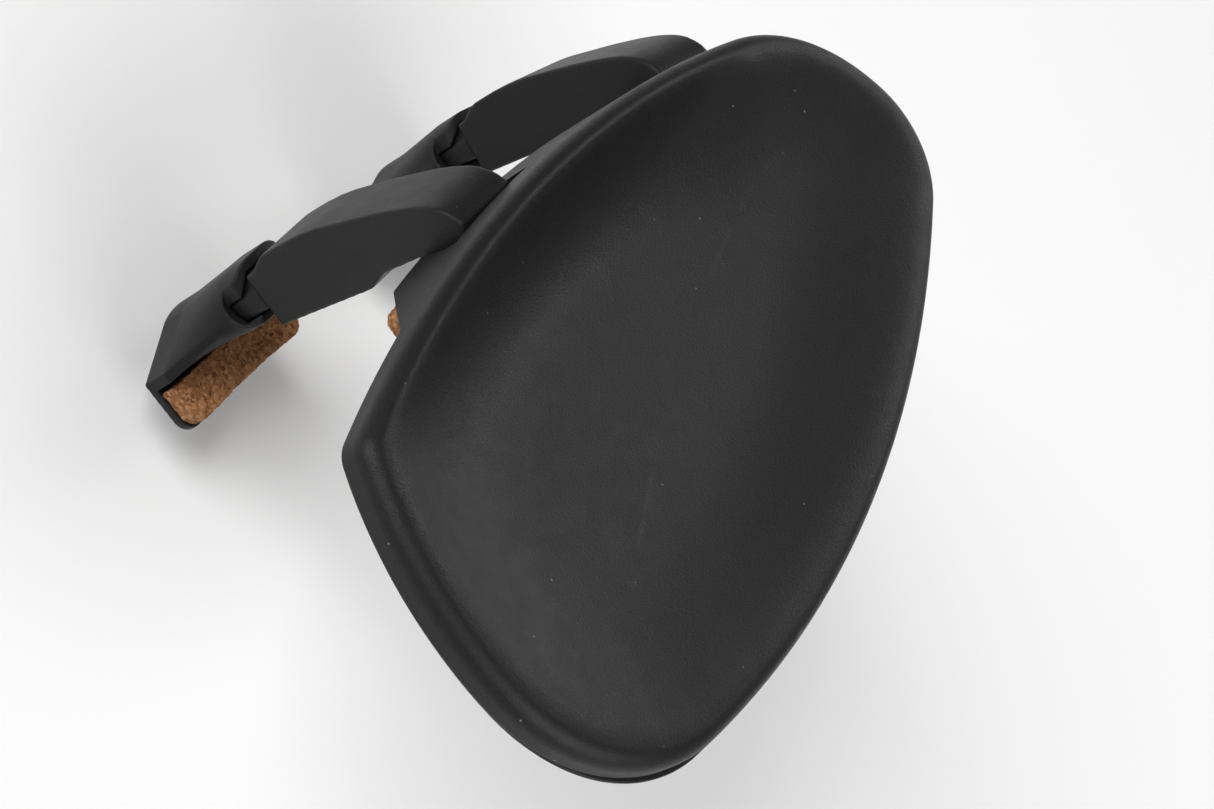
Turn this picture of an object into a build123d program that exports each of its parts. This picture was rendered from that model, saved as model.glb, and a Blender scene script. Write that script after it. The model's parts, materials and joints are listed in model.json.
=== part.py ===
from build123d import *
import os
from math import atan, degrees, sqrt

# Side-mounted violin chinrest: a dished chin plate over a lower shell, carried by a rail that sits
# on the violin's top edge, and clamped by two rocking arms whose cork-lined feet hook under the back.
#
# Frame, in millimetres: the origin is the middle of the rail cork's lower face, +Z points up out of
# the violin's top, -Y points to the player's neck, and +X points to the plate's sharp corner.

# ---- Plan of the rim ----
NECK_RADIUS = 165.0        # outer face of the wall on the neck side
NECK_WALL_Y = -6.2         # nearest point of that wall to the player
NECK_CENTRE_Y = NECK_WALL_Y + NECK_RADIUS
CORNER_X = 66.5            # where the neck side meets the tailpiece side
LEFT_TURN_X = -27.0        # where the neck side starts to turn round the left end
RIM_ARCS = [(26.0, 59.0), (14.0, 74.0), (143.0, 38.5), (24.0, 79.0)]   # radius, turn in degrees
CORNER_RADIUS = 4.0

# ---- Heights and thicknesses of the plate ----
RIM_Z = 18.5               # crest of the rim at the origin
RIM_RISE = 0.02            # rise of the crest per millimetre of Y
RIM_ROLL = 2.3             # radius of the rolled outer edge
CREST_INSET = 2.9          # the dish's wall starts this far in from the rim
FLOOR_INSET = 10.5         # and reaches the floor this far in
FLOOR_SHIFT = 2.0          # the floor sits this far towards the player, so the far wall is gentler
FLOOR_BLEND = 4.0
FLOOR_Z = 9.9              # dish floor at the origin, before the bowl's rise
FLOOR_RISE = 0.125
BOWL_X = 20.0              # the dish is deepest at this X
BOWL_RISE = 0.0011
PLATE_T = 2.6
UNDER_GROW = 1.5           # sideways thickness of the dish's wall
WALL_T = 2.3
PARTING_Z = 13.8           # joint between the plate and the lower shell
PARTING_RISE = 0.03
SKIRT_Z = 3.8              # lower edge of the neck-side wall
SHELL_T = 2.0
SHELL_GAP = 1.2
SHELL_DROP = PLATE_T + SHELL_GAP + SHELL_T     # dish floor down to the shell's outer face
SHELL_SHIFT = 2.1          # the shell sits this far towards +Y, so its far edge stands proud
SHELL_INSET = 1.4
SHELL_FLARE = 0.6          # the shell's sloping sides reach this far outside the rim at the parting

# ---- Rail and its cork ----
CORK_T = 2.4
RAIL_HALF = 34.5
RAIL_FRONT = 1.0           # distances in from the outer face of the neck-side wall
RAIL_BACK = 16.5
RAIL_STEP = 8.6            # the taller front part ends here
RAIL_Z = 6.6
RAIL_FRONT_Z = 7.6
CORK_HALF = 35.5
CORK_FRONT = 2.2
CORK_BACK = 10.2

# ---- Arms: each has its own frame, y = 0 near the wall, placed at ARM_X, ARM_Y and turned ARM_TOE ----
ARM_X = 22.5
ARM_Y = -3.5
ARM_TOE = 5.9
ARM_HALF = 5.5
ROOT_HALF = 8.35
PIN_R = 1.5
PIN_Y = 3.6
PIN_Z = 6.6
PIN_HALF = 11.2
EYE_R = 3.2
RUNNING = 0.05             # radial running clearance on pins and threads
POCKET_GAP = 0.4

# ---- Tongue, screw and foot ----
SCREW_Y = -7.3
TONGUE_HALF = 5.1
TONGUE_OUT = -9.7
TONGUE_IN = -4.9
TONGUE_END = -33.0
TONGUE_CHAMFER = 2.2
SLIDE_GAP = 0.15
SCREW_R = 1.5
HEAD_R = 2.5
HEAD_T = 3.0
HEX_ACROSS = 2.5
INSERT_R = 2.0
INSERT_L = 5.5
SCREW_L = 16.0
FLOOR_TOP = -34.8          # floor of the foot's socket
FLOOR_T = 1.7
WASHER_T = 0.4
CLIP_T = 0.5
HEAD_TOP = FLOOR_TOP - FLOOR_T - WASHER_T
BOSS_R = 3.4
JAW_Z = -37.0              # upper face of the jaw cork
JAW_CORK_T = 2.5
JAW_PLATE_T = 1.2
JAW_HALF = 12.3
JAW_IN = 2.2
JAW_OUT = -4.5
JAW_CORK_OUT = -3.9
FOOT_BOTTOM = JAW_Z - JAW_CORK_T - JAW_PLATE_T

# ---- Self-tapping screws ----
TAP_R = 1.25
TAP_HEAD_R = 2.4
TAP_HEAD_T = 1.3
POST_R = 2.9
RAIL_SCREWS = [(-7.0, 5.6), (7.0, 5.6), (-24.0, 13.2), (24.0, 13.2)]     # x, distance in
SHELL_SCREWS = [(50.0, 27.0), (12.0, 37.0), (-27.0, 22.0)]                # x, y


# ======== Plan curves and bowls ========

def neck_point(x, inset=0.0):
    radius = NECK_RADIUS - inset
    return (x, NECK_CENTRE_Y - sqrt(radius**2 - x**2))


def rim_edges():
    """Neck side first, then the tangent arcs round the rest, back to the sharp corner."""
    corner = neck_point(CORNER_X)
    edges = [ThreePointArc(corner, neck_point(10), neck_point(LEFT_TURN_X))]
    heading = (-1, -LEFT_TURN_X / sqrt(NECK_RADIUS**2 - LEFT_TURN_X**2))
    for radius, turn in RIM_ARCS:
        edges.append(JernArc(edges[-1] @ 1, heading, radius, -turn))
        heading = edges[-1] % 1
    edges.append(TangentArc(edges[-1] @ 1, corner, tangent=heading))
    return edges


def sharp_plan(inset):
    return offset(make_face(rim_edges()), amount=-inset, kind=Kind.INTERSECTION)


def rounded_plan(inset=0.0):
    face = make_face(rim_edges())
    corner = face.vertices().sort_by_distance(neck_point(CORNER_X))[0]
    face = fillet(corner, CORNER_RADIUS)
    return offset(face, amount=-inset) if inset else face


def plan_prism(inset=0.0, low=0.0, high=30.0):
    return extrude(Pos(0, 0, low) * rounded_plan(inset), amount=high - low)


def floor_height(x, y):
    return FLOOR_Z + FLOOR_RISE * y + BOWL_RISE * (x - BOWL_X)**2


def tilted(z, rise):
    """Place on a plane through z at the origin that rises towards +Y."""
    return Pos(0, 0, z) * Rot(degrees(atan(rise)), 0, 0)


def block_above(z, rise):
    return tilted(z, rise) * Pos(0, 0, 50) * Box(300, 300, 100)


def block_below(z, rise):
    return tilted(z, rise) * Pos(0, 0, -50) * Box(300, 300, 100)


def space_over_floor(drop):
    """Everything above the dish floor, which is bent along X, lowered by drop."""
    radius = 1 / (2 * BOWL_RISE)
    return tilted(FLOOR_Z - drop, FLOOR_RISE) * Pos(BOWL_X, 0, radius) * Rot(90, 0, 0) * Cylinder(radius, 300)


def bowl(grow, drop):
    """The dish as a solid, grown outwards and lowered: sloping walls down to the bent floor."""
    top = tilted(RIM_Z - drop, RIM_RISE) * sharp_plan(CREST_INSET - grow)
    low = tilted(FLOOR_Z - drop - 1, FLOOR_RISE) * Pos(0, -FLOOR_SHIFT) * sharp_plan(FLOOR_INSET - grow)
    solid = loft([low, top]) & space_over_floor(drop)
    return fillet(solid.faces().sort_by(Axis.Z)[0].edges(), FLOOR_BLEND)


def neck_sector(half, front, back, low, high):
    """A curved block that follows the neck-side wall, between two distances in from its face."""
    outer, inner = NECK_RADIUS - front, NECK_RADIUS - back
    ring = Circle(outer) - Circle(inner)
    window = Pos(0, -NECK_RADIUS) * Rectangle(2 * half, 60)
    return Pos(0, NECK_CENTRE_Y, low) * extrude(ring & window, amount=high - low)


def arm_place(side):
    return Pos(side * ARM_X, ARM_Y, 0) * Rot(0, 0, side * ARM_TOE)


def profile_solid(face, half):
    """A face drawn in (y, z), made solid from -half to +half in x."""
    return extrude(Plane.YZ * face, amount=half, both=True)


def pin_cylinder(radius, half):
    """A cylinder on the hinge axis, in the arm's own frame."""
    return Pos(0, PIN_Y, PIN_Z) * extrude(Plane.YZ * Circle(radius), amount=half, both=True)


# ======== Plate, shell, rail and corks ========

def root_window(gap):
    """Front view of the arm's root: wide at the top, narrow below, open downwards."""
    low, high = 3.4, 10.5
    narrow, wide = ARM_HALF + gap, ROOT_HALF + gap
    corners = [(-narrow, -8), (-narrow, low), (-wide, high), (-wide, 12.0 + gap)]
    return Polygon(*corners, *[(-x, z) for x, z in reversed(corners)], align=None)


def window_solid(gap, front, back):
    return extrude(Plane.XZ.offset(-back) * root_window(gap), amount=back - front, dir=(0, -1, 0))


def skirt_keeper():
    """The part of the neck-side wall that reaches below the parting plane."""
    half = RAIL_HALF + 1
    side = Polygon((-half - 11, 20), (-half - 9, 12.5), (-half, SKIRT_Z), (half, SKIRT_Z),
                   (half + 11, 12.5), (half + 14, 20), align=None)
    return extrude(Plane.XZ.offset(-9) * side, amount=24, dir=(0, -1, 0))


def underside(margin):
    """The space under the plate, grown by margin."""
    space = plan_prism(WALL_T - margin, low=-5.0) - block_above(RIM_Z - PLATE_T + margin, RIM_RISE)
    return space - bowl(UNDER_GROW - margin, PLATE_T - margin)


def plate_posts():
    """Screw posts for the rail and the shell, and the keepers that hold the hinge pins down."""
    posts = []
    for x, inset in RAIL_SCREWS:
        base = RAIL_FRONT_Z if inset < RAIL_STEP else RAIL_Z
        posts.append(Pos(*neck_point(x, inset), base) * extrude(Circle(POST_R), amount=20))
    for x, y in SHELL_SCREWS:
        base = shell_bottom(x, y) + SHELL_T + 0.6
        posts.append(Pos(x, y, base) * extrude(Circle(POST_R), amount=20))
    cheek = (ROOT_HALF + POCKET_GAP + PIN_HALF) / 2
    for side in (-1, 1):
        for end in (-1, 1):
            block = Pos(end * (cheek + 0.2), PIN_Y, PIN_Z + PIN_R + 0.02) * Box(
                2.0, 3.0, 20, align=(Align.CENTER, Align.CENTER, Align.MIN))
            posts.append(arm_place(side) * block)
    return (Part() + posts) & underside(0.4)


def make_chin_plate():
    body = plan_prism() - block_above(RIM_Z, RIM_RISE)
    body = fillet(body.faces().sort_by(Axis.Z)[-1].edges(), RIM_ROLL)
    body -= bowl(0, 0)
    body -= underside(0)
    body -= block_below(PARTING_Z, PARTING_RISE) - skirt_keeper() - plan_prism(WALL_T + 0.05, low=-20)
    body += plate_posts()
    for side in (-1, 1):
        body -= arm_place(side) * window_solid(POCKET_GAP, -6, 3.2)
        body -= arm_place(side) * pin_cylinder(EYE_R + POCKET_GAP, ROOT_HALF + POCKET_GAP)
        body -= arm_place(side) * pin_cylinder(PIN_R + 0.02, PIN_HALF + 0.1)
    for x, inset in RAIL_SCREWS:
        body -= Pos(*neck_point(x, inset), RAIL_Z - 1) * extrude(Circle(TAP_R + 0.05), amount=4.9)
    for x, y in SHELL_SCREWS:
        body -= Pos(x, y, shell_bottom(x, y)) * extrude(Circle(TAP_R + 0.05), amount=4.9)
    return body


def shell_bottom(x, y):
    return floor_height(x, y) - SHELL_DROP


def shell_form(inset, drop):
    """Everything inside the shell's outline and above its sloping sides and floor."""
    low = tilted(FLOOR_Z - drop - 1, FLOOR_RISE) * sharp_plan(FLOOR_INSET + inset)
    top = tilted(PARTING_Z + SHELL_DROP - drop, PARTING_RISE) * sharp_plan(inset - SHELL_FLARE)
    sides = loft([low, Pos(0, SHELL_SHIFT, 0) * top])
    return Pos(0, SHELL_SHIFT) * plan_prism(SHELL_INSET + inset) & sides & space_over_floor(drop)


def make_lower_shell():
    body = shell_form(0, SHELL_DROP) & block_below(PARTING_Z - 0.25, PARTING_RISE)
    body -= shell_form(SHELL_T - 0.2, SHELL_DROP - SHELL_T)
    body -= bowl(UNDER_GROW + 0.3, PLATE_T + 0.3)
    body -= neck_sector(RAIL_HALF + 1, -5, RAIL_BACK + 0.3, -5, 30)
    body -= Pos(0, 0, -0.3) * skirt_keeper() - plan_prism(WALL_T + 0.3)
    for x, y in SHELL_SCREWS:
        z = shell_bottom(x, y)
        body -= Pos(x, y, z - 1) * extrude(Circle(TAP_R + 0.1), amount=6)
        body -= Pos(x, y, z) * Cone(TAP_HEAD_R + 0.15, TAP_R, TAP_HEAD_T + 0.1, align=(
            Align.CENTER, Align.CENTER, Align.MIN))
        body -= Pos(x, y, z - 2) * extrude(Circle(TAP_HEAD_R + 0.15), amount=2)
    return body


def pocket(side):
    """Room in the rail for one arm's root."""
    back = PIN_Y + EYE_R + 0.5
    half = ROOT_HALF + POCKET_GAP
    return arm_place(side) * Pos(0, 0, 6) * Box(2 * half, 2 * back, 20)


def make_clamp_rail():
    base = neck_sector(RAIL_HALF, -3, RAIL_BACK, CORK_T, RAIL_Z) & plan_prism(RAIL_FRONT)
    front = neck_sector(RAIL_HALF - 1, -3, RAIL_STEP, CORK_T, RAIL_FRONT_Z) & plan_prism(WALL_T + 0.25)
    body = fillet(base.edges().filter_by(Axis.Z), 2.0) + fillet(front.edges().filter_by(Axis.Z), 1.5)
    body -= plan_prism(-1, low=SKIRT_Z - 0.3) - plan_prism(WALL_T + 0.25)
    for side in (-1, 1):
        body -= pocket(side)
        slot = Box(2 * PIN_HALF + 0.2, 2 * PIN_R + 0.04, 6, align=(Align.CENTER, Align.CENTER, Align.MIN))
        body -= arm_place(side) * pin_cylinder(PIN_R + 0.02, PIN_HALF + 0.1)
        body -= arm_place(side) * Pos(0, PIN_Y, PIN_Z) * slot
    for x, inset in RAIL_SCREWS:
        body -= Pos(*neck_point(x, inset), 0) * extrude(Circle(TAP_R + 0.1), amount=20)
        body -= Pos(*neck_point(x, inset), 0) * extrude(Circle(TAP_HEAD_R + 0.2), amount=CORK_T + 1.5)
    return body


def make_rail_cork():
    body = neck_sector(CORK_HALF, CORK_FRONT, CORK_BACK, 0, CORK_T)
    return fillet(body.edges().filter_by(Axis.Z), 1.5)


def make_rail_screws():
    """Cheese-head screws, driven up through the rail into the plate's posts."""
    screws = []
    for x, inset in RAIL_SCREWS:
        top = RAIL_Z + 3.6
        head = Pos(*neck_point(x, inset), CORK_T + 1.5)
        body = head * extrude(Circle(TAP_HEAD_R), amount=-TAP_HEAD_T)
        body += head * extrude(Circle(TAP_R), amount=top - CORK_T - 1.5)
        body -= head * Pos(0, 0, -TAP_HEAD_T) * extrude(Rectangle(3.2, 0.6) + Rectangle(0.6, 3.2), amount=0.8)
        screws.append(body)
    return Compound(children=screws)


def make_shell_screws():
    """Countersunk screws, driven up through the shell into the plate's posts."""
    screws = []
    for x, y in SHELL_SCREWS:
        head = Pos(x, y, shell_bottom(x, y))
        body = head * Cone(TAP_HEAD_R, TAP_R, TAP_HEAD_T, align=(Align.CENTER, Align.CENTER, Align.MIN))
        body += head * extrude(Circle(TAP_R), amount=4.6)
        body -= head * extrude(Rectangle(2.8, 0.55) + Rectangle(0.55, 2.8), amount=0.9)
        screws.append(body)
    return Compound(children=screws)


def make_hinge_pin(side):
    body = extrude(Plane.YZ * Circle(PIN_R), amount=PIN_HALF, both=True)
    body = chamfer(body.edges().filter_by(GeomType.CIRCLE), 0.3)
    return arm_place(side) * Pos(0, PIN_Y, PIN_Z) * body


# ======== Arms ========

def arm_profile():
    """Side view of the hook, from the wall down to the tongue."""
    outer = Spline((-1.4, 11.8), (-6.7, 5.4), (-9.6, -5.5), (-10.9, -17.9), tangents=[(-1, -0.3), (0, -1)])
    rest = Polyline((-10.9, -17.9), (TONGUE_OUT, -20.8), (TONGUE_OUT, -24), (-2.3, -24), (-2.3, -22.0),
                    (-0.45, -6.2), (-1.3, -3.2), (-0.7, 3.4), (PIN_Y, 3.4), (PIN_Y + 1.0, 8.6),
                    (0.3, 11.3), (-1.4, 11.8))
    return make_face([outer, rest])


def tongue_section(gap):
    """Plan of the tongue, or of its socket: a rectangle with its two outer corners cut off."""
    shape = Pos(0, (TONGUE_OUT + TONGUE_IN) / 2) * Rectangle(
        2 * (TONGUE_HALF + gap), TONGUE_IN - TONGUE_OUT + 2 * gap)
    return chamfer(shape.vertices().group_by(Axis.Y)[0], TONGUE_CHAMFER)


def make_arm(side):
    profile = arm_profile()
    slab = profile_solid(profile, ARM_HALF)
    plan = Polygon((-ARM_HALF, -7.2), (-ARM_HALF - 0.7, -4.2), (-ROOT_HALF, -1.2), (-ROOT_HALF, 12),
                   (ROOT_HALF, 12), (ROOT_HALF, -1.2), (ARM_HALF + 0.7, -4.2), (ARM_HALF, -7.2), align=None)
    flare = profile_solid(profile, ROOT_HALF) & (Pos(0, 0, -10) * extrude(plan, amount=30))
    body = slab + ((flare + pin_cylinder(EYE_R, ROOT_HALF)) & window_solid(0, -12, 12))
    body -= Pos(0, -12, -22) * Box(40, 9.6 * 2 + 9, 4, align=(Align.CENTER, Align.MIN, Align.MAX))
    body += Pos(0, 0, TONGUE_END) * extrude(tongue_section(0), amount=-19 - TONGUE_END)
    body -= pin_cylinder(PIN_R + RUNNING, 12)
    body -= Pos(0, SCREW_Y, TONGUE_END) * extrude(Circle(INSERT_R), amount=INSERT_L)
    body -= Pos(0, SCREW_Y, TONGUE_END) * extrude(Circle(SCREW_R + 0.25), amount=14.5)
    return arm_place(side) * body


def make_insert(side):
    body = Pos(0, SCREW_Y, TONGUE_END) * extrude(Circle(INSERT_R) - Circle(SCREW_R + RUNNING), amount=INSERT_L)
    return arm_place(side) * body


# ======== Feet ========

def hood_section():
    """Plan of the hood, broadly rounded on its outer side."""
    shape = Pos(0, (-11.3 - 3.6) / 2) * Rectangle(13.3, 7.7)
    shape = fillet(shape.vertices().group_by(Axis.Y)[-1], 2.4)
    return fillet(shape.vertices().group_by(Axis.Y)[0], 5.0)


def gable_section():
    """Plan of the foot at the jaw: a blunt boss in the middle, flanks running out to the jaw's ends."""
    left = [(-JAW_HALF, -4.5), (-JAW_HALF, -5.9), (-3.4, -10.1)]
    right = [(-x, y) for x, y in reversed(left)]
    flanks = Polyline(*left) + Polyline(*right)
    nose = ThreePointArc(left[-1], (0, -10.7), right[0])
    front = Line(right[-1], left[0])
    return make_face([*flanks.edges(), nose, front])


def make_foot(side):
    hood_low = -27.6
    base_top = JAW_Z + 0.4
    hood = Pos(0, 0, hood_low) * extrude(hood_section(), amount=5.0)
    neck = loft([Pos(0, 0, base_top) * gable_section(), Pos(0, 0, hood_low) * hood_section()])
    base = Pos(0, 0, FOOT_BOTTOM) * extrude(gable_section(), amount=base_top - FOOT_BOTTOM)
    jaw = Pos(0, 0, FOOT_BOTTOM) * extrude(jaw_section(0, JAW_OUT), amount=JAW_PLATE_T)
    boss = Pos(0, SCREW_Y, FOOT_BOTTOM) * extrude(Circle(BOSS_R), amount=9)
    body = hood + neck + base + jaw + boss
    body -= hood_opening()
    body -= Pos(0, 0, FLOOR_TOP) * extrude(tongue_section(SLIDE_GAP), amount=40)
    body -= Pos(0, SCREW_Y, FOOT_BOTTOM) * extrude(Circle(HEAD_R + 0.15), amount=FLOOR_TOP - FLOOR_T - FOOT_BOTTOM)
    body -= Pos(0, SCREW_Y, FOOT_BOTTOM) * extrude(Circle(SCREW_R + 0.15), amount=20)
    return arm_place(side) * body


def hood_opening():
    """Cut that leaves an arched back to the hood, a lower front and dished side walls."""
    spring = -26.4
    above = Pos(0, 0, (spring + 20) / 2) * Box(40, 40, 20 - spring)
    arch = extrude(Plane.XZ.offset(30) * Pos(0, spring) * Ellipse(5.9, 3.2), amount=-60)
    slope = Pos(0, -9.8, -23.2) * Rot(-13, 0, 0) * Box(40, 40, 20, align=(Align.CENTER, Align.MIN, Align.MIN))
    dish = extrude(Plane.YZ * Pos(-7.6, -22.9) * Circle(4.5), amount=30, both=True)
    dish -= Box(2 * (TONGUE_HALF + SLIDE_GAP), 60, 60)
    return (above - arch) + slope + dish


def jaw_section(margin, outer):
    """Plan of the jaw: rounded inner corners and an inner edge slightly hollowed to the violin's curve."""
    half, inner = JAW_HALF - margin, JAW_IN - margin
    shape = make_face([
        Line((-half, inner), (-half, outer)), Line((-half, outer), (half, outer)),
        Line((half, outer), (half, inner)), ThreePointArc((half, inner), (0, inner - 0.5), (-half, inner)),
    ])
    return fillet(shape.vertices().group_by(Axis.Y)[-1], 2.2)


def make_jaw_cork(side):
    body = Pos(0, 0, JAW_Z - JAW_CORK_T) * extrude(jaw_section(0.15, JAW_CORK_OUT), amount=JAW_CORK_T)
    body -= Pos(0, SCREW_Y, JAW_Z - 10) * extrude(Circle(BOSS_R + 0.1), amount=20)
    return arm_place(side) * body


# ======== Clamp screws ========

def make_screw(side):
    body = extrude(Circle(HEAD_R), amount=-HEAD_T) + extrude(Circle(SCREW_R), amount=SCREW_L)
    body = chamfer(body.edges().filter_by(GeomType.CIRCLE).sort_by(Axis.Z)[-1], 0.4)
    body -= Pos(0, 0, -HEAD_T) * extrude(RegularPolygon(HEX_ACROSS / 2, 6, major_radius=False), amount=1.6)
    return arm_place(side) * Pos(0, SCREW_Y, HEAD_TOP) * body


def make_washer(side):
    body = extrude(Circle(HEAD_R) - Circle(SCREW_R + RUNNING), amount=WASHER_T)
    return arm_place(side) * Pos(0, SCREW_Y, HEAD_TOP) * body


def make_clip(side):
    """Split ring that keeps the screw in the foot."""
    ring = Circle(2.3) - Circle(SCREW_R + 0.02) - Pos(0, 2) * Rectangle(1.6, 3)
    return arm_place(side) * Pos(0, SCREW_Y, FLOOR_TOP + 0.05) * extrude(ring, amount=CLIP_T)


# ======== Assembly ========

def save(node, shape):
    export_step(shape, f"parts/{node}.step")
    print(node, len(shape.solids()), "solid(s)", round(shape.volume, 1), "mm3", flush=True)


os.makedirs("parts", exist_ok=True)
save("chin_plate", make_chin_plate())
save("lower_shell", make_lower_shell())
save("clamp_rail", make_clamp_rail())
save("rail_cork", make_rail_cork())
save("rail_screws", make_rail_screws())
save("shell_screws", make_shell_screws())
for side, name in ((-1, "left"), (1, "right")):
    save(f"hinge_pin_{name}", make_hinge_pin(side))
    save(f"arm_{name}", make_arm(side))
    save(f"thread_insert_{name}", make_insert(side))
    save(f"foot_{name}", make_foot(side))
    save(f"jaw_cork_{name}", make_jaw_cork(side))
    save(f"clamp_screw_{name}", make_screw(side))
    save(f"thrust_washer_{name}", make_washer(side))
    save(f"retaining_clip_{name}", make_clip(side))
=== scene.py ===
import json
import math

import bmesh
import bpy
import numpy as np
from mathutils import Matrix, Vector, kdtree


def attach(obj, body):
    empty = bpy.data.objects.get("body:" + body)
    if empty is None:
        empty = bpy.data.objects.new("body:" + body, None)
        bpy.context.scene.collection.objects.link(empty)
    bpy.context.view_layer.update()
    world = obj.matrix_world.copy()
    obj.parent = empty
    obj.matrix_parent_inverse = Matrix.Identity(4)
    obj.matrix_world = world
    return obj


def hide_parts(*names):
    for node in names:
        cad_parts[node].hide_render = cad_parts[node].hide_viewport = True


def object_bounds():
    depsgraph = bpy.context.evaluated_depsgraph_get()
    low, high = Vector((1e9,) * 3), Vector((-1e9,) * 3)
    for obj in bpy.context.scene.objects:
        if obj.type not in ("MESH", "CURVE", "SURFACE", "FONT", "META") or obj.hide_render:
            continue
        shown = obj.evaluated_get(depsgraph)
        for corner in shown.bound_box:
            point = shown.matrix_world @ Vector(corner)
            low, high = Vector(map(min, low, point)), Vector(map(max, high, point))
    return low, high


MM = 0.001

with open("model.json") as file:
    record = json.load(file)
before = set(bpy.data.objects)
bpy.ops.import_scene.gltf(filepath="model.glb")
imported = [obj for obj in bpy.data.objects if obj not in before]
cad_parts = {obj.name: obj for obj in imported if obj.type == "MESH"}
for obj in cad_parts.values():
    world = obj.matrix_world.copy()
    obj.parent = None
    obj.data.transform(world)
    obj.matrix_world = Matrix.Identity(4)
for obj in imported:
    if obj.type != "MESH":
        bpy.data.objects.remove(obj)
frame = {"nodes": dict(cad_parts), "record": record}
nodes = frame["nodes"]
cad_low, cad_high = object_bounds()

# ======== dimensions shared with the CAD source, in mm ========
NECK_RADIUS = 165.0
NECK_WALL_Y = -6.2
NECK_CENTRE = np.array([0.0, NECK_WALL_Y + NECK_RADIUS])
CORNER_X = 66.5
LEFT_TURN_X = -27.0
RIM_ARCS = [(26.0, 59.0), (14.0, 74.0), (143.0, 38.5), (24.0, 79.0)]
CORNER_RADIUS = 4.0
RIM_Z, RIM_RISE, RIM_ROLL = 18.5, 0.02, 2.3
FLOOR_Z, FLOOR_RISE, BOWL_X, BOWL_RISE = 9.9, 0.125, 20.0, 0.0011
PLATE_T, WALL_T = 2.6, 2.3
PARTING_Z, PARTING_RISE, SKIRT_Z = 13.8, 0.03, 3.8
SHELL_DROP, SHELL_T, SHELL_SHIFT, SHELL_INSET = 5.8, 2.0, 2.1, 1.4
RAIL_HALF, RAIL_BACK = 34.5, 16.5
ARM_X, ARM_Y, ARM_TOE = 22.5, -3.5, 5.9
ROOT_HALF, ARM_HALF, PIN_Y, PIN_Z, EYE_R = 8.35, 5.5, 3.6, 6.6, 3.2
POCKET_GAP = 0.4

# ======== further sizes in mm, with powers and counts ========
RIM_SAMPLES = 620          # points round the outline
UNDER_GROW = 1.5           # the plate's underside is the dish grown by this, dropped by PLATE_T
MIDDLE = np.array([14.0, 25.0])      # plan point that the dish's rings close on
# Dish profile: each value beside the neck side, and what is added to it beside the far side.
DISH_START, DISH_REACH = (1.4, 1.2), (12.0, 5.0)
DISH_EASE, DISH_STEEP = (1.2, 1.6), (1.6, 0.5)
DISH_RINGS, DISH_SPREAD, DISH_ROUNDS = 84, 1.3, 80
STILL_RIM = 4.0            # evening out starts this far from the rim and is full at twice that
SKIRT_RISE, SKIRT_RUN_LEFT, SKIRT_RUN_RIGHT = 8.7, 9.0, 11.0
SKIRT_DEPTH_Y, SKIRT_CORNER_GAP = 9.0, 1.5
WINDOW_LOW, WINDOW_WAIST, WINDOW_SHOULDER, WINDOW_TOP = -8.0, 3.4, 10.5, 12.4
WINDOW_FROM, WINDOW_TO = -3.2, 6.0
CREST_END = 3.0            # the dish's rings start this far in from the rim
WALL_EDGE = 0.35           # rounding of the wall's lower edge
SHELL_WALL = 1.8
SHELL_SLOPE_REACH = 11.1   # plan length of the shell's sloping sides
SHELL_BLEND = 2.4
SHELL_LIP = 0.25
SHELL_RINGS_OUT, SHELL_RINGS_IN, SHELL_SPREAD = 60, 36, 1.25
GRANULE = 0.75             # size of a cork granule
GRANULE_SINK, GRANULE_LIFT = 0.05, 0.05
GROOVE_WIDTH, GROOVE_DEPTH = 0.22, 0.07
PIT_DEPTH, PIT_ABOVE = 0.20, 0.93    # a granule whose random lift is above the second is lost
CORK_VOXEL = 0.16
FLOOR_GAP = 5.5            # room under the feet for the clamp to open


# ======== rim outline as a chain of circular arcs ========
def neck_point(x, inset=0.0):
    return np.array([x, NECK_CENTRE[1] - math.sqrt((NECK_RADIUS - inset) ** 2 - x * x)])


def far_arcs():
    """(centre, radius, start angle, end angle) of each arc round the rim.

    The arcs run clockwise from the left end of the neck side.
    """
    point = neck_point(LEFT_TURN_X)
    slope = -LEFT_TURN_X / math.sqrt(NECK_RADIUS**2 - LEFT_TURN_X**2)
    heading = np.array([-1.0, slope]) / math.hypot(1.0, slope)
    arcs = []
    for radius, turn in RIM_ARCS:
        right = np.array([heading[1], -heading[0]])
        centre = point + radius * right
        start = math.atan2(*(point - centre)[::-1])
        end = start - math.radians(turn)
        arcs.append((centre, radius, start, end))
        point = centre + radius * np.array([math.cos(end), math.sin(end)])
        turn_by = -math.radians(turn)
        heading = np.array([heading[0] * math.cos(turn_by) - heading[1] * math.sin(turn_by),
                            heading[0] * math.sin(turn_by) + heading[1] * math.cos(turn_by)])
    corner = neck_point(CORNER_X)
    right = np.array([heading[1], -heading[0]])
    radius = (corner - point) @ (corner - point) / (2 * (corner - point) @ right)
    centre = point + radius * right
    start = math.atan2(*(point - centre)[::-1])
    end = math.atan2(*(corner - centre)[::-1])
    while end > start:
        end -= 2 * math.pi
    arcs.append((centre, radius, start, end))
    return arcs


FAR_ARCS = far_arcs()


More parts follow.
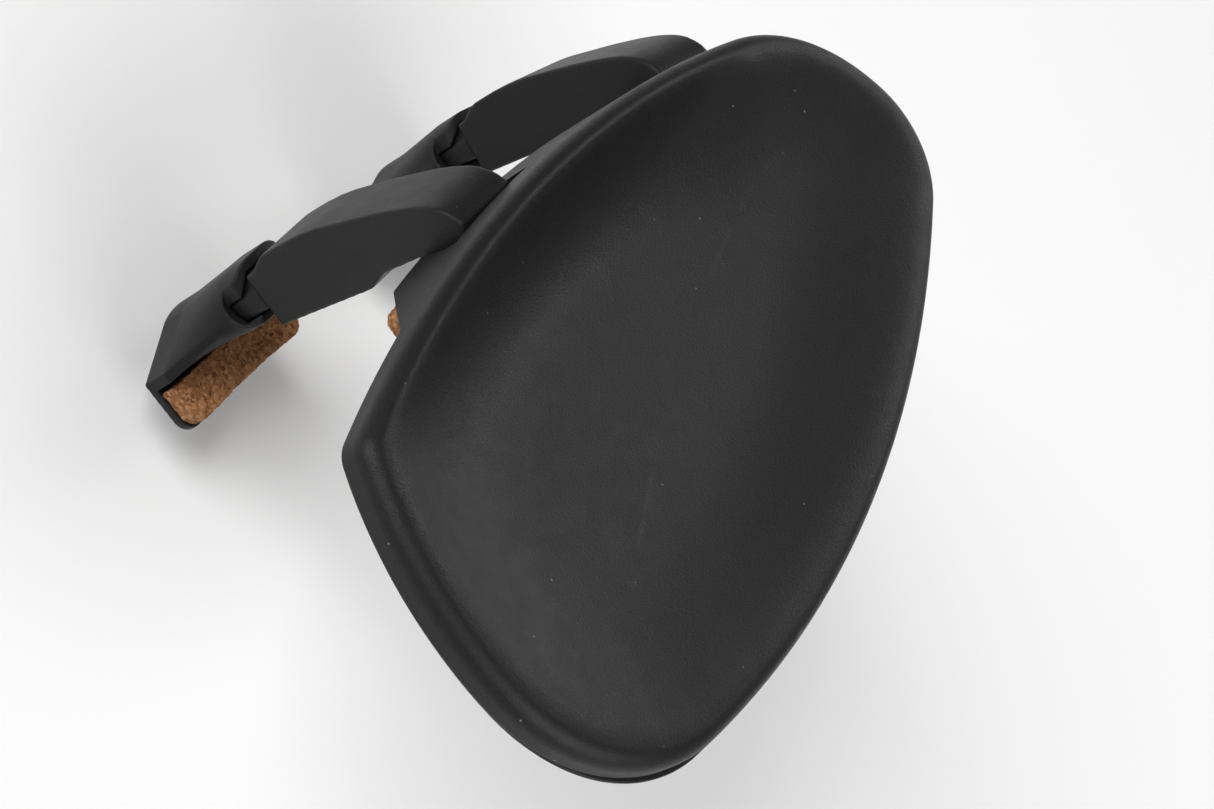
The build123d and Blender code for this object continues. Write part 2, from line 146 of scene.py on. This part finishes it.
def rounded_chain():
    """All arcs of the rim with the sharp corner rounded, in one clockwise loop."""
    last_centre, last_radius, last_start, _ = FAR_ARCS[-1]
    a, b = NECK_RADIUS - CORNER_RADIUS, last_radius - CORNER_RADIUS
    gap = last_centre - NECK_CENTRE
    length = np.linalg.norm(gap)
    along = (a * a - b * b + length * length) / (2 * length)
    across = math.sqrt(max(a * a - along * along, 0.0))
    unit = gap / length
    side = np.array([-unit[1], unit[0]])
    corner = neck_point(CORNER_X)
    options = [NECK_CENTRE + unit * along + side * across * s for s in (-1, 1)]
    fillet = min(options, key=lambda p: np.linalg.norm(p - corner))
    on_last = math.atan2(*(fillet - last_centre)[::-1])
    while on_last > last_start:
        on_last -= 2 * math.pi
    on_neck = math.atan2(*(fillet - NECK_CENTRE)[::-1])
    neck_end = math.atan2(*(neck_point(LEFT_TURN_X) - NECK_CENTRE)[::-1])
    while neck_end > on_neck:
        neck_end -= 2 * math.pi
    start = on_last
    end = on_neck
    while end > start:
        end -= 2 * math.pi
    return ([(NECK_CENTRE, NECK_RADIUS, on_neck, neck_end)] + FAR_ARCS[:-1]
            + [(last_centre, last_radius, last_start, on_last), (fillet, CORNER_RADIUS, start, end)])


def sample_rim(count):
    """Centres, radii and angles of points spread evenly round the rim."""
    chain = rounded_chain()
    lengths = [abs(r * (e - s)) + 10.0 * (r < 10) for _, r, s, e in chain]
    total = sum(lengths)
    centres, radii, angles = [], [], []
    for (centre, radius, start, end), length in zip(chain, lengths):
        n = max(6, round(count * length / total))
        for t in np.arange(n) / n:
            centres.append(centre)
            radii.append(radius)
            angles.append(start + (end - start) * t)
    return np.array(centres), np.array(radii), np.array(angles)


CENTRES, RADII, ANGLES = sample_rim(RIM_SAMPLES)


def ring(inset):
    """Points at one distance in from the rim."""
    r = (RADII - inset)[:, None]
    return CENTRES + r * np.stack([np.cos(ANGLES), np.sin(ANGLES)], 1)


def arc_distance(p, arc):
    """Distance from plan points to one arc, beyond its ends to the end points."""
    centre, radius, start, end = arc
    v = p - centre
    turned = (start - np.arctan2(v[:, 1], v[:, 0])) % (2 * math.pi)
    ends = [centre + radius * np.array([math.cos(a), math.sin(a)]) for a in (start, end)]
    to_ends = np.minimum(*[np.linalg.norm(p - q, axis=1) for q in ends])
    return np.where(turned <= start - end, np.abs(radius - np.linalg.norm(v, axis=1)), to_ends)


def rim_distance(p):
    """Distance in from the rim, blended between the two sides, and how near the neck side is."""
    neck = np.maximum(NECK_RADIUS - np.linalg.norm(p - NECK_CENTRE, axis=1), 1e-3)
    far = np.maximum(np.min([arc_distance(p, arc) for arc in FAR_ARCS], axis=0), 1e-3)
    distance = (neck**-3 + far**-3) ** (-1 / 3)
    return distance, far**2 / (far**2 + neck**2 + 0.1)


def crest(y):
    return RIM_Z + RIM_RISE * y


def parting(y):
    return PARTING_Z + PARTING_RISE * y


def floor_height(p):
    return FLOOR_Z + FLOOR_RISE * p[:, 1] + BOWL_RISE * (p[:, 0] - BOWL_X) ** 2


def sided(value, neckness):
    """A dish value between the neck side and the far side."""
    return value[0] + value[1] * (1 - neckness)


def dish(p, grow=0.0, drop=0.0):
    """Height of the dish at plan points; grown outwards and lowered it is the plate's underside."""
    distance, neckness = rim_distance(p)
    ease = sided(DISH_EASE, neckness)
    run = np.maximum(distance + grow - sided(DISH_START, neckness), 0.0)
    run = np.sqrt(run**2 + ease**2) - ease
    left = np.clip(1 - run / sided(DISH_REACH, neckness), 0.0, 1.0)
    fall = 1 - left ** sided(DISH_STEEP, neckness)
    top = crest(p[:, 1])
    return top - (top - floor_height(p)) * fall - drop


def relaxed(plans, heights, rounds):
    """Heights over a stack of plan rings, evened out everywhere except close to the rim."""
    z = np.array(heights)
    ahead = np.array([np.linalg.norm(np.roll(p, -1, axis=0) - p, axis=1) for p in plans])
    behind = np.roll(ahead, 1, axis=1)
    free = np.array([np.clip((rim_distance(p)[0] - STILL_RIM) / STILL_RIM, 0.0, 1.0) for p in plans])
    for _ in range(rounds):
        around = (np.roll(z, 1, axis=1) * ahead + np.roll(z, -1, axis=1) * behind) / (ahead + behind)
        across = z.copy()
        across[1:-1] = (z[2:] + z[:-2]) / 2
        z += free * 0.5 * ((around + across) / 2 - z)
    return z


def stack_mesh(name, rings):
    """A mesh through rings of equal length; each end closes on a single middle point."""
    n = len(rings[0])
    verts = np.concatenate(rings) * MM
    faces = []
    for k in range(len(rings) - 1):
        for i in range(n):
            j = (i + 1) % n
            faces.append((k * n + i, k * n + j, (k + 1) * n + j, (k + 1) * n + i))
    verts = [tuple(v) for v in verts]
    for index, flip in ((0, False), (len(rings) - 1, True)):
        middle = len(verts)
        verts.append(tuple(np.mean(rings[index], axis=0) * MM))
        for i in range(n):
            a, b = index * n + i, index * n + (i + 1) % n
            faces.append((middle, a, b) if flip else (middle, b, a))
    mesh = bpy.data.meshes.new(name)
    mesh.from_pydata(verts, [], faces)
    bm = bmesh.new()
    bm.from_mesh(mesh)
    bmesh.ops.recalc_face_normals(bm, faces=bm.faces)
    bm.to_mesh(mesh)
    bm.free()
    obj = bpy.data.objects.new(name, mesh)
    bpy.context.scene.collection.objects.link(obj)
    return obj


def with_z(p, z):
    return np.column_stack([p, np.broadcast_to(z, len(p))])


def arm_matrix(side):
    return Matrix.Translation(Vector((side * ARM_X, ARM_Y, 0)) * MM) @ Matrix.Rotation(
        math.radians(side * ARM_TOE), 4, "Z")


def prism(name, outline, low, high, place=Matrix.Identity(4)):
    """A closed prism over a plan outline in mm."""
    n = len(outline)
    verts = [(x * MM, y * MM, z * MM) for z in (low, high) for x, y in outline]
    faces = [tuple(range(n))[::-1], tuple(range(n, 2 * n))]
    faces += [(i, (i + 1) % n, (i + 1) % n + n, i + n) for i in range(n)]
    mesh = bpy.data.meshes.new(name)
    mesh.from_pydata(verts, [], faces)
    mesh.transform(place)
    obj = bpy.data.objects.new(name, mesh)
    bpy.context.scene.collection.objects.link(obj)
    return obj


def apply_modifiers(obj):
    graph = bpy.context.evaluated_depsgraph_get()
    made = bpy.data.meshes.new_from_object(obj.evaluated_get(graph))
    obj.modifiers.clear()
    obj.data = made


def cut(obj, cutters):
    for cutter in cutters:
        m = obj.modifiers.new("cut", "BOOLEAN")
        m.operation, m.solver, m.object = "DIFFERENCE", "EXACT", cutter
    apply_modifiers(obj)
    for cutter in cutters:
        bpy.data.objects.remove(cutter)


def smooth(obj, angle):
    obj.data.polygons.foreach_set("use_smooth", [True] * len(obj.data.polygons))
    obj.data.set_sharp_from_angle(angle=math.radians(angle))


# ======== materials ========
def material(name):
    m = bpy.data.materials.new(name)
    m.use_nodes = True
    nt = m.node_tree
    nt.nodes.clear()
    out = nt.nodes.new("ShaderNodeOutputMaterial")
    bsdf = nt.nodes.new("ShaderNodeBsdfPrincipled")
    nt.links.new(bsdf.outputs[0], out.inputs[0])
    return m, nt, bsdf


def node(nt, kind, values=None, **attributes):
    n = nt.nodes.new(kind)
    for key, value in attributes.items():
        setattr(n, key, value)
    for key, value in (values or {}).items():
        n.inputs[key].default_value = value
    return n


def ramp(nt, source, stops):
    n = nt.nodes.new("ShaderNodeValToRGB")
    elements = n.color_ramp.elements
    while len(elements) < len(stops):
        elements.new(0.5)
    for element, (position, colour) in zip(elements, stops):
        element.position = position
        element.color = (*colour, 1)
    nt.links.new(source, n.inputs[0])
    return n


def grey(v):
    return (v, v, v)


def noise(nt, coords, scale, detail=2.0, rough=0.5):
    n = node(nt, "ShaderNodeTexNoise", {"Scale": scale, "Detail": detail, "Roughness": rough})
    nt.links.new(coords, n.inputs["Vector"])
    return n


def maths(nt, operation, *values):
    n = nt.nodes.new("ShaderNodeMath")
    n.operation = operation
    for index, value in enumerate(values):
        if isinstance(value, (int, float)):
            n.inputs[index].default_value = value
        else:
            nt.links.new(value, n.inputs[index])
    return n.outputs[0]


def mix_colour(nt, factor, a, b, blend="MIX"):
    n = nt.nodes.new("ShaderNodeMix")
    n.data_type, n.blend_type = "RGBA", blend
    for socket, value in ((n.inputs[0], factor), (n.inputs[6], a), (n.inputs[7], b)):
        if isinstance(value, (int, float)):
            socket.default_value = value
        elif isinstance(value, tuple):
            socket.default_value = (*value, 1)
        else:
            nt.links.new(value, socket)
    return n.outputs[2]


def plastic(name, base=0.004, rough=0.46):
    """Black moulded plastic: fine satin grain, faint cloudiness, worn edges, a few dust specks."""
    m, nt, bsdf = material(name)
    coords = node(nt, "ShaderNodeTexCoord").outputs["Object"]
    grain = noise(nt, coords, 3400, 2.0, 0.6)
    fine = noise(nt, coords, 13000, 1.0, 0.5)
    cloud = noise(nt, coords, 45, 4.0, 0.6)
    handled = noise(nt, coords, 320, 3.0, 0.6)
    geometry = node(nt, "ShaderNodeNewGeometry")
    worn = ramp(nt, geometry.outputs["Pointiness"], [(0.52, grey(0)), (0.60, grey(1))]).outputs[0]
    deep = (base * 0.92, base * 0.95, base)
    pale = (base * 1.1, base * 1.12, base * 1.16)
    rubbed_bare = (base * 2.6, base * 2.6, base * 2.7)
    lint = (0.28, 0.28, 0.27)
    body = ramp(nt, cloud.outputs[0], [(0.3, deep), (0.7, pale)])
    edge = mix_colour(nt, maths(nt, "MULTIPLY", worn, 0.35), body.outputs[0], rubbed_bare)
    cells = node(nt, "ShaderNodeTexVoronoi", {"Scale": 330.0})
    nt.links.new(coords, cells.inputs["Vector"])
    speck = ramp(nt, cells.outputs["Distance"], [(0.0, grey(1)), (0.06, grey(0))])
    chance = ramp(nt, cells.outputs["Color"], [(0.66, grey(0)), (0.70, grey(1))])
    fleck = maths(nt, "MULTIPLY", speck.outputs[0], chance.outputs[0])
    dusty = mix_colour(nt, maths(nt, "MULTIPLY", fleck, 0.8), edge, lint)
    nt.links.new(dusty, bsdf.inputs["Base Color"])
    patches = ramp(nt, handled.outputs[0], [(0.3, grey(rough - 0.03)), (0.7, grey(rough + 0.04))])
    rubbed = maths(nt, "SUBTRACT", patches.outputs[0], maths(nt, "MULTIPLY", worn, 0.06))
    nt.links.new(rubbed, bsdf.inputs["Roughness"])
    bsdf.inputs["Specular IOR Level"].default_value = 0.3
    rounding = node(nt, "ShaderNodeBevel", {"Radius": 0.35 * MM}, samples=4)
    both = maths(nt, "ADD", grain.outputs[0], maths(nt, "MULTIPLY", fine.outputs[0], 0.5))
    bump = node(nt, "ShaderNodeBump", {"Strength": 0.8, "Distance": 0.06 * MM})
    nt.links.new(both, bump.inputs["Height"])
    nt.links.new(rounding.outputs[0], bump.inputs["Normal"])
    nt.links.new(bump.outputs[0], bsdf.inputs["Normal"])
    return m


def cork(name):
    """Agglomerated cork: granules of mixed browns with dark bark specks and open pores."""
    m, nt, bsdf = material(name)
    coords = node(nt, "ShaderNodeTexCoord").outputs["Object"]
    warp = noise(nt, coords, 900, 3.0, 0.6)
    moved = node(nt, "ShaderNodeVectorMath", operation="MULTIPLY_ADD")
    nt.links.new(warp.outputs["Color"], moved.inputs[0])
    moved.inputs[1].default_value = (0.0006,) * 3
    nt.links.new(coords, moved.inputs[2])
    cells = node(nt, "ShaderNodeTexVoronoi", {"Scale": 1900.0})
    rims = node(nt, "ShaderNodeTexVoronoi", {"Scale": 1900.0}, feature="DISTANCE_TO_EDGE")
    for n in (cells, rims):
        nt.links.new(moved.outputs[0], n.inputs["Vector"])
    tone = ramp(nt, cells.outputs["Color"], [
        (0.0, (0.06, 0.020, 0.007)), (0.12, (0.22, 0.085, 0.030)), (0.38, (0.36, 0.155, 0.058)),
        (0.62, (0.46, 0.215, 0.088)), (0.85, (0.58, 0.30, 0.140)), (1.0, (0.36, 0.15, 0.055))])
    fibres = noise(nt, coords, 4200, 5.0, 0.7)
    mottled = mix_colour(nt, 0.55, tone.outputs[0], ramp(nt, fibres.outputs[0], [
        (0.3, (0.35, 0.33, 0.31)), (0.7, grey(1.0))]).outputs[0], "MULTIPLY")
    seam = ramp(nt, rims.outputs["Distance"], [(0.0, grey(1)), (0.09, grey(0))])
    jointed = mix_colour(nt, maths(nt, "MULTIPLY", seam.outputs[0], 0.4), mottled, (0.16, 0.075, 0.03))
    pores = noise(nt, coords, 1700, 2.0, 0.5)
    pit = ramp(nt, pores.outputs[0], [(0.60, grey(0)), (0.70, grey(1))])
    pitted = mix_colour(nt, maths(nt, "MULTIPLY", pit.outputs[0], 0.7), jointed, (0.06, 0.025, 0.01))
    nt.links.new(pitted, bsdf.inputs["Base Color"])
    bsdf.inputs["Specular IOR Level"].default_value = 0.25
    dull = ramp(nt, fibres.outputs[0], [(0.2, grey(0.78)), (0.8, grey(0.95))])
    nt.links.new(dull.outputs[0], bsdf.inputs["Roughness"])
    raised = maths(nt, "MULTIPLY", fibres.outputs[0], 0.5)
    sunk = maths(nt, "ADD", seam.outputs[0], pit.outputs[0])
    height = maths(nt, "SUBTRACT", raised, sunk)
    bump = node(nt, "ShaderNodeBump", {"Strength": 0.7, "Distance": 0.12 * MM})
    nt.links.new(height, bump.inputs["Height"])
    nt.links.new(bump.outputs[0], bsdf.inputs["Normal"])
    return m


def metal(name, colour, rough):
    """Turned metal with fine tool marks, darker stains and rounded edges."""
    m, nt, bsdf = material(name)
    coords = node(nt, "ShaderNodeTexCoord").outputs["Object"]
    stretch = node(nt, "ShaderNodeMapping")
    stretch.inputs["Scale"].default_value = (1, 1, 14)
    nt.links.new(coords, stretch.inputs["Vector"])
    marks = noise(nt, stretch.outputs[0], 900, 3.0, 0.6)
    stain = noise(nt, coords, 380, 3.0, 0.6)
    low = tuple(c * 0.72 for c in colour)
    stained = ramp(nt, stain.outputs[0], [(0.3, low), (0.65, colour)])
    nt.links.new(stained.outputs[0], bsdf.inputs["Base Color"])
    bsdf.inputs["Metallic"].default_value = 1.0
    gloss = ramp(nt, marks.outputs[0], [(0.3, grey(rough)), (0.7, grey(rough + 0.16))])
    nt.links.new(gloss.outputs[0], bsdf.inputs["Roughness"])
    rounding = node(nt, "ShaderNodeBevel", {"Radius": 0.12 * MM}, samples=4)
    bump = node(nt, "ShaderNodeBump", {"Strength": 0.25, "Distance": 0.02 * MM})
    nt.links.new(marks.outputs[0], bump.inputs["Height"])
    nt.links.new(rounding.outputs[0], bump.inputs["Normal"])
    nt.links.new(bump.outputs[0], bsdf.inputs["Normal"])
    return m


PLASTIC = plastic("satin_plastic")
CORK = cork("cork_granules")
STEEL = metal("screw_steel", (0.42, 0.42, 0.43), 0.30)
PIN_STEEL = metal("pin_steel", (0.50, 0.50, 0.51), 0.22)
BRASS = metal("insert_brass", (0.68, 0.47, 0.20), 0.28)


def paint(obj, what):
    obj.data.materials.clear()
    obj.data.materials.append(what)


# ======== chin plate ========
def inward(start, steps, power):
    """Plan rings that run from one ring to the middle, closer together near the rim."""
    rings = []
    for k in range(1, steps):
        t = (k / steps) ** power
        rings.append(start + (MIDDLE - start) * t)
    return rings


def skirt_height(p):
    """Lower edge of the wall: deep along the clamp, up to the parting line elsewhere."""
    x, y = p[:, 0], p[:, 1]
    half = RAIL_HALF + 1
    left = SKIRT_Z + (-half - x) * SKIRT_RISE / SKIRT_RUN_LEFT
    right = SKIRT_Z + (x - half) * SKIRT_RISE / SKIRT_RUN_RIGHT
    skirt = np.maximum(SKIRT_Z, np.maximum(left, right))
    on_neck_side = (y < SKIRT_DEPTH_Y) & (x < CORNER_X - SKIRT_CORNER_GAP)
    return np.where(on_neck_side, np.minimum(skirt, parting(y)), parting(y))


def make_plate():
    outer = ring(0.0)
    low = skirt_height(outer)
    rings = []
    inner = ring(WALL_T)
    plans = inward(inner, DISH_RINGS, DISH_SPREAD)[::-1]
    heights = [dish(p, UNDER_GROW, PLATE_T) for p in plans]
    for p, z in zip(plans, relaxed(plans, heights, DISH_ROUNDS)):
        rings.append(with_z(p, z))
    under = np.maximum(dish(inner, UNDER_GROW, PLATE_T), low + 0.3)
    rings.append(with_z(inner, under))
    rings.append(with_z(inner, low * 0.6 + under * 0.4))
    edge = WALL_EDGE
    quarter = [math.radians(90 * k / 4) for k in range(5)]
    for a in quarter:
        rings.append(with_z(ring(WALL_T - edge * (1 - math.cos(a))), low + edge * (1 - math.sin(a))))
    for a in quarter:
        rings.append(with_z(ring(edge * (1 - math.sin(a))), low + edge * (1 - math.cos(a))))
    top = crest(outer[:, 1]) - RIM_ROLL
    for t in (0.06, 0.2, 0.4, 0.6, 0.8, 0.94):
        rings.append(with_z(outer, low + edge + (top - low - edge) * t))
    steps = 12
    for k in range(steps + 1):
        a = math.radians(90 * k / steps)
        p = ring(RIM_ROLL * (1 - math.cos(a)))
        rings.append(with_z(p, dish(p) - RIM_ROLL * (1 - math.sin(a))))
    start = ring(CREST_END)
    rings.append(with_z(start, dish(start)))
    plans = inward(start, DISH_RINGS, DISH_SPREAD)
    for p, z in zip(plans, relaxed(plans, [dish(p) for p in plans], DISH_ROUNDS)):
        rings.append(with_z(p, z))
    plate = stack_mesh("moulded_chin_plate", rings)
    cutters = []
    for side in (-1, 1):
        place = arm_matrix(side)
        narrow, wide = ARM_HALF + POCKET_GAP, ROOT_HALF + POCKET_GAP
        right = [(narrow, WINDOW_LOW), (narrow, WINDOW_WAIST), (wide, WINDOW_SHOULDER), (wide, WINDOW_TOP)]
        front = [(-narrow, WINDOW_LOW)] + right + [(-x, z) for x, z in right[:0:-1]]
        turn = place @ Matrix.Rotation(math.radians(90), 4, "X")
        cutters.append(prism("window", front, WINDOW_FROM, WINDOW_TO, turn))
        pin = Matrix.Translation((0, PIN_Y * MM, PIN_Z * MM))
        sideways = place @ pin @ Matrix.Rotation(math.radians(90), 4, "Y")
        circle = [(math.cos(a), math.sin(a)) for a in np.linspace(0, 2 * math.pi, 48, endpoint=False)]
        r = EYE_R + POCKET_GAP
        cutters.append(prism("eye_room", [(r * x, r * y) for x, y in circle], -wide, wide, sideways))
    cut(plate, cutters)
    smooth(plate, 32)
    paint(plate, PLASTIC)
    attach(plate, "rest")
    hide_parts("chin_plate")


make_plate()


# ======== lower shell ========
def shell_under(p, inset, drop):
    """Outer or inner face of the shell: sloping sides that blend into the floor."""
    distance, _ = rim_distance(p - np.array([0, SHELL_SHIFT]))
    y = p[:, 1]
    top = parting(y) + (SHELL_DROP - drop)
    foot = FLOOR_Z - drop - 1 + FLOOR_RISE * y
    sides = top - (distance + 0.6 - inset) / SHELL_SLOPE_REACH * (top - foot)
    bottom = floor_height(p) - drop
    spread = np.maximum(SHELL_BLEND - np.abs(sides - bottom), 0.0)
    return np.maximum(sides, bottom) + spread**2 / (4 * SHELL_BLEND)


def make_shell():
    shift = np.array([0, SHELL_SHIFT])
    outer, inner = ring(SHELL_INSET) + shift, ring(SHELL_INSET + SHELL_WALL) + shift
    inner_drop, ceiling_drop = SHELL_DROP - SHELL_T, PLATE_T + 0.3
    top = parting(outer[:, 1]) - SHELL_LIP
    rings = []
    for p in inward(outer, SHELL_RINGS_OUT, SHELL_SPREAD)[::-1]:
        rings.append(with_z(p, shell_under(p, 0.0, SHELL_DROP)))
    base = shell_under(outer, 0.0, SHELL_DROP)
    rings.append(with_z(ring(SHELL_INSET + SHELL_LIP) + shift, base + 0.02))
    rings.append(with_z(outer, base + 0.3))
    rings.append(with_z(outer, top - SHELL_LIP))
    rings.append(with_z(ring(SHELL_INSET + 0.08) + shift, top - 0.06))
    rings.append(with_z(ring(SHELL_INSET + SHELL_LIP) + shift, top))
    inner_top = np.minimum(top, dish(inner, SHELL_WALL, ceiling_drop))
    inner_low = np.minimum(shell_under(inner, SHELL_WALL, inner_drop), inner_top - 0.1)
    rings.append(with_z(inner, inner_top))
    rings.append(with_z(inner, inner_low))
    for p in inward(inner, SHELL_RINGS_IN, SHELL_SPREAD):
        floor_top = shell_under(p, SHELL_WALL, inner_drop)
        rings.append(with_z(p, np.minimum(floor_top, dish(p, SHELL_WALL, ceiling_drop))))
    shell = stack_mesh("moulded_lower_shell", rings)
    half = RAIL_HALF + 1
    arc = [neck_point(x, RAIL_BACK + 0.3) for x in np.linspace(half, -half, 60)]
    sector = [(-half, -30.0), (half, -30.0)] + [tuple(p) for p in arc]
    cut(shell, [prism("rail_room", sector, -20, 40)])
    smooth(shell, 32)
    paint(shell, PLASTIC)
    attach(shell, "rest")
    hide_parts("lower_shell")


make_shell()


# ======== moulded arms, feet and rail, softened in place ========
def soften(obj, voxel, rounds):
    """Rounds a moulded part's edges: a fine even skin over the CAD shape, then relaxed."""
    weld = obj.modifiers.new("weld", "WELD")
    weld.merge_threshold = 2e-6
    skin = obj.modifiers.new("skin", "REMESH")
    skin.mode, skin.voxel_size, skin.use_smooth_shade = "VOXEL", voxel * MM, True
    relax = obj.modifiers.new("relax", "SMOOTH")
    relax.factor, relax.iterations = 0.5, rounds


for side in ("left", "right"):
    soften(nodes[f"arm_{side}"], voxel=0.2, rounds=22)
    soften(nodes[f"foot_{side}"], voxel=0.12, rounds=8)
soften(nodes["clamp_rail"], voxel=0.2, rounds=6)


# ======== cork ========
def granulate(source, body, name):
    """Cork pad: the CAD block's own surface, roughened into granules, pores and crumbled edges."""
    piece = bpy.data.objects.new(name, nodes[source].data.copy())
    bpy.context.scene.collection.objects.link(piece)
    weld = piece.modifiers.new("weld", "WELD")
    weld.merge_threshold = 2e-6
    skin = piece.modifiers.new("skin", "REMESH")
    skin.mode, skin.voxel_size, skin.use_smooth_shade = "VOXEL", CORK_VOXEL * MM, True
    relax = piece.modifiers.new("relax", "SMOOTH")
    relax.factor, relax.iterations = 0.5, 3
    apply_modifiers(piece)
    mesh = piece.data
    count = len(mesh.vertices)
    co = np.empty(count * 3, np.float32)
    mesh.vertices.foreach_get("co", co)
    co = co.reshape(-1, 3).astype(float)
    normals = np.empty(count * 3, np.float32)
    mesh.vertex_normals.foreach_get("vector", normals)
    normals = normals.reshape(-1, 3).astype(float)
    rng = np.random.default_rng(sum(map(ord, source)))
    low, high = co.min(0), co.max(0)
    size = GRANULE * MM
    total = int(np.prod((high - low) / size + 1) * 0.9)
    seeds = rng.uniform(low - size / 2, high + size / 2, (total, 3))
    lift = rng.uniform(-1, 1, total)
    tree = kdtree.KDTree(total)
    for i, s in enumerate(seeds):
        tree.insert(s, i)
    tree.balance()
    depth = np.zeros(count)
    for i, c in enumerate(co):
        (_, a, da), (_, _, db) = tree.find_n(c, 2)
        groove = max(0.0, 1 - (db - da) / (GROOVE_WIDTH * MM))
        lost = PIT_DEPTH if lift[a] > PIT_ABOVE else 0.0
        depth[i] = -GRANULE_SINK + GRANULE_LIFT * lift[a] - GROOVE_DEPTH * groove - lost
    co += normals * (depth * MM)[:, None]
    mesh.vertices.foreach_set("co", co.astype(np.float32).ravel())
    mesh.update()
    paint(piece, CORK)
    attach(piece, body)
    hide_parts(source)


granulate("jaw_cork_left", "foot_left", "cork_jaw_pad_left")
granulate("jaw_cork_right", "foot_right", "cork_jaw_pad_right")
granulate("rail_cork", "rest", "cork_rail_pad")

# ======== finishes of the carried-over CAD nodes ========
FINISHES = {
    "black_plastic": PLASTIC,
    "screw_steel": STEEL,
    "pin_steel": PIN_STEEL,
    "insert_brass": BRASS,
    "cork": CORK,
}
for entry in frame["record"]["subparts"]:
    paint(nodes[entry["node"]], FINISHES[entry["material_slot"]])

# ======== floor, light and camera ========
floor_z = cad_low.z - FLOOR_GAP * MM
bpy.ops.mesh.primitive_plane_add(size=6, location=(0, 0, floor_z))
floor = bpy.context.object
floor.name = "floor"
floor_material, nt, bsdf = material("floor_paper")
bsdf.inputs["Base Color"].default_value = (0.86, 0.86, 0.86, 1)
bsdf.inputs["Roughness"].default_value = 0.9
paint(floor, floor_material)

world = bpy.data.worlds.new("tent")
bpy.context.scene.world = world
world.use_nodes = True
sky = world.node_tree
background = sky.nodes["Background"]
direction = node(sky, "ShaderNodeSeparateXYZ")
sky.links.new(node(sky, "ShaderNodeTexCoord").outputs["Generated"], direction.inputs[0])
tent = ramp(sky, direction.outputs["Z"], [
    (0.0, grey(0.7)), (0.2, grey(0.6)), (0.6, grey(0.42)), (1.0, grey(0.22))])
across = maths(sky, "MULTIPLY_ADD", direction.outputs["Y"], 0.5, 0.5)
shade = ramp(sky, across, [
    (0.2, grey(0.12)), (0.46, grey(1.0)), (0.56, grey(1.0)), (0.82, grey(0.2))])
shaded = mix_colour(sky, 1.0, tent.outputs[0], shade.outputs[0], "MULTIPLY")
sky.links.new(shaded, background.inputs["Color"])
background.inputs["Strength"].default_value = 1.0


def softbox(name, place, aim, size, power):
    data = bpy.data.lights.new(name, "AREA")
    data.shape, data.size, data.size_y, data.energy = "RECTANGLE", size[0], size[1], power
    lamp = bpy.data.objects.new(name, data)
    lamp.location = place
    lamp.rotation_mode = "QUATERNION"
    lamp.rotation_quaternion = (Vector(aim) - Vector(place)).to_track_quat("-Z", "Y")
    bpy.context.scene.collection.objects.link(lamp)


softbox("key", (0.45, -0.75, 0.80), (0, 0.02, 0), (0.9, 0.9), 13)
softbox("fill", (0.35, 0.85, 0.85), (0, 0.02, 0), (0.9, 0.9), 11)
softbox("back", (-0.95, 0.05, 0.47), (0, 0.02, 0), (0.4, 0.3), 1.8)

# The camera's axes in the frame, and the frame's origin along those axes, in mm.
RIGHT = np.array([-0.5235, 0.5439, 0.6559])
DOWN = np.array([0.4306, 0.8331, -0.3471])
RIGHT /= np.linalg.norm(RIGHT)
DOWN -= DOWN.dot(RIGHT) * RIGHT
DOWN /= np.linalg.norm(DOWN)
AHEAD = np.cross(RIGHT, DOWN)
ORIGIN_SEEN = np.array([-7.164, -24.863, 423.824])
place = -(RIGHT * ORIGIN_SEEN[0] + DOWN * ORIGIN_SEEN[1] + AHEAD * ORIGIN_SEEN[2]) * MM
camera_data = bpy.data.cameras.new("camera")
camera_data.lens, camera_data.sensor_width = 102.5, 36.0
camera_data.clip_start, camera_data.clip_end = 0.01, 20
camera = bpy.data.objects.new("camera", camera_data)
camera.matrix_world = Matrix([
    [RIGHT[i], -DOWN[i], -AHEAD[i], place[i]] for i in range(3)] + [[0, 0, 0, 1]])
bpy.context.scene.collection.objects.link(camera)
bpy.context.scene.camera = camera
bpy.context.scene.view_settings.view_transform = "Standard"
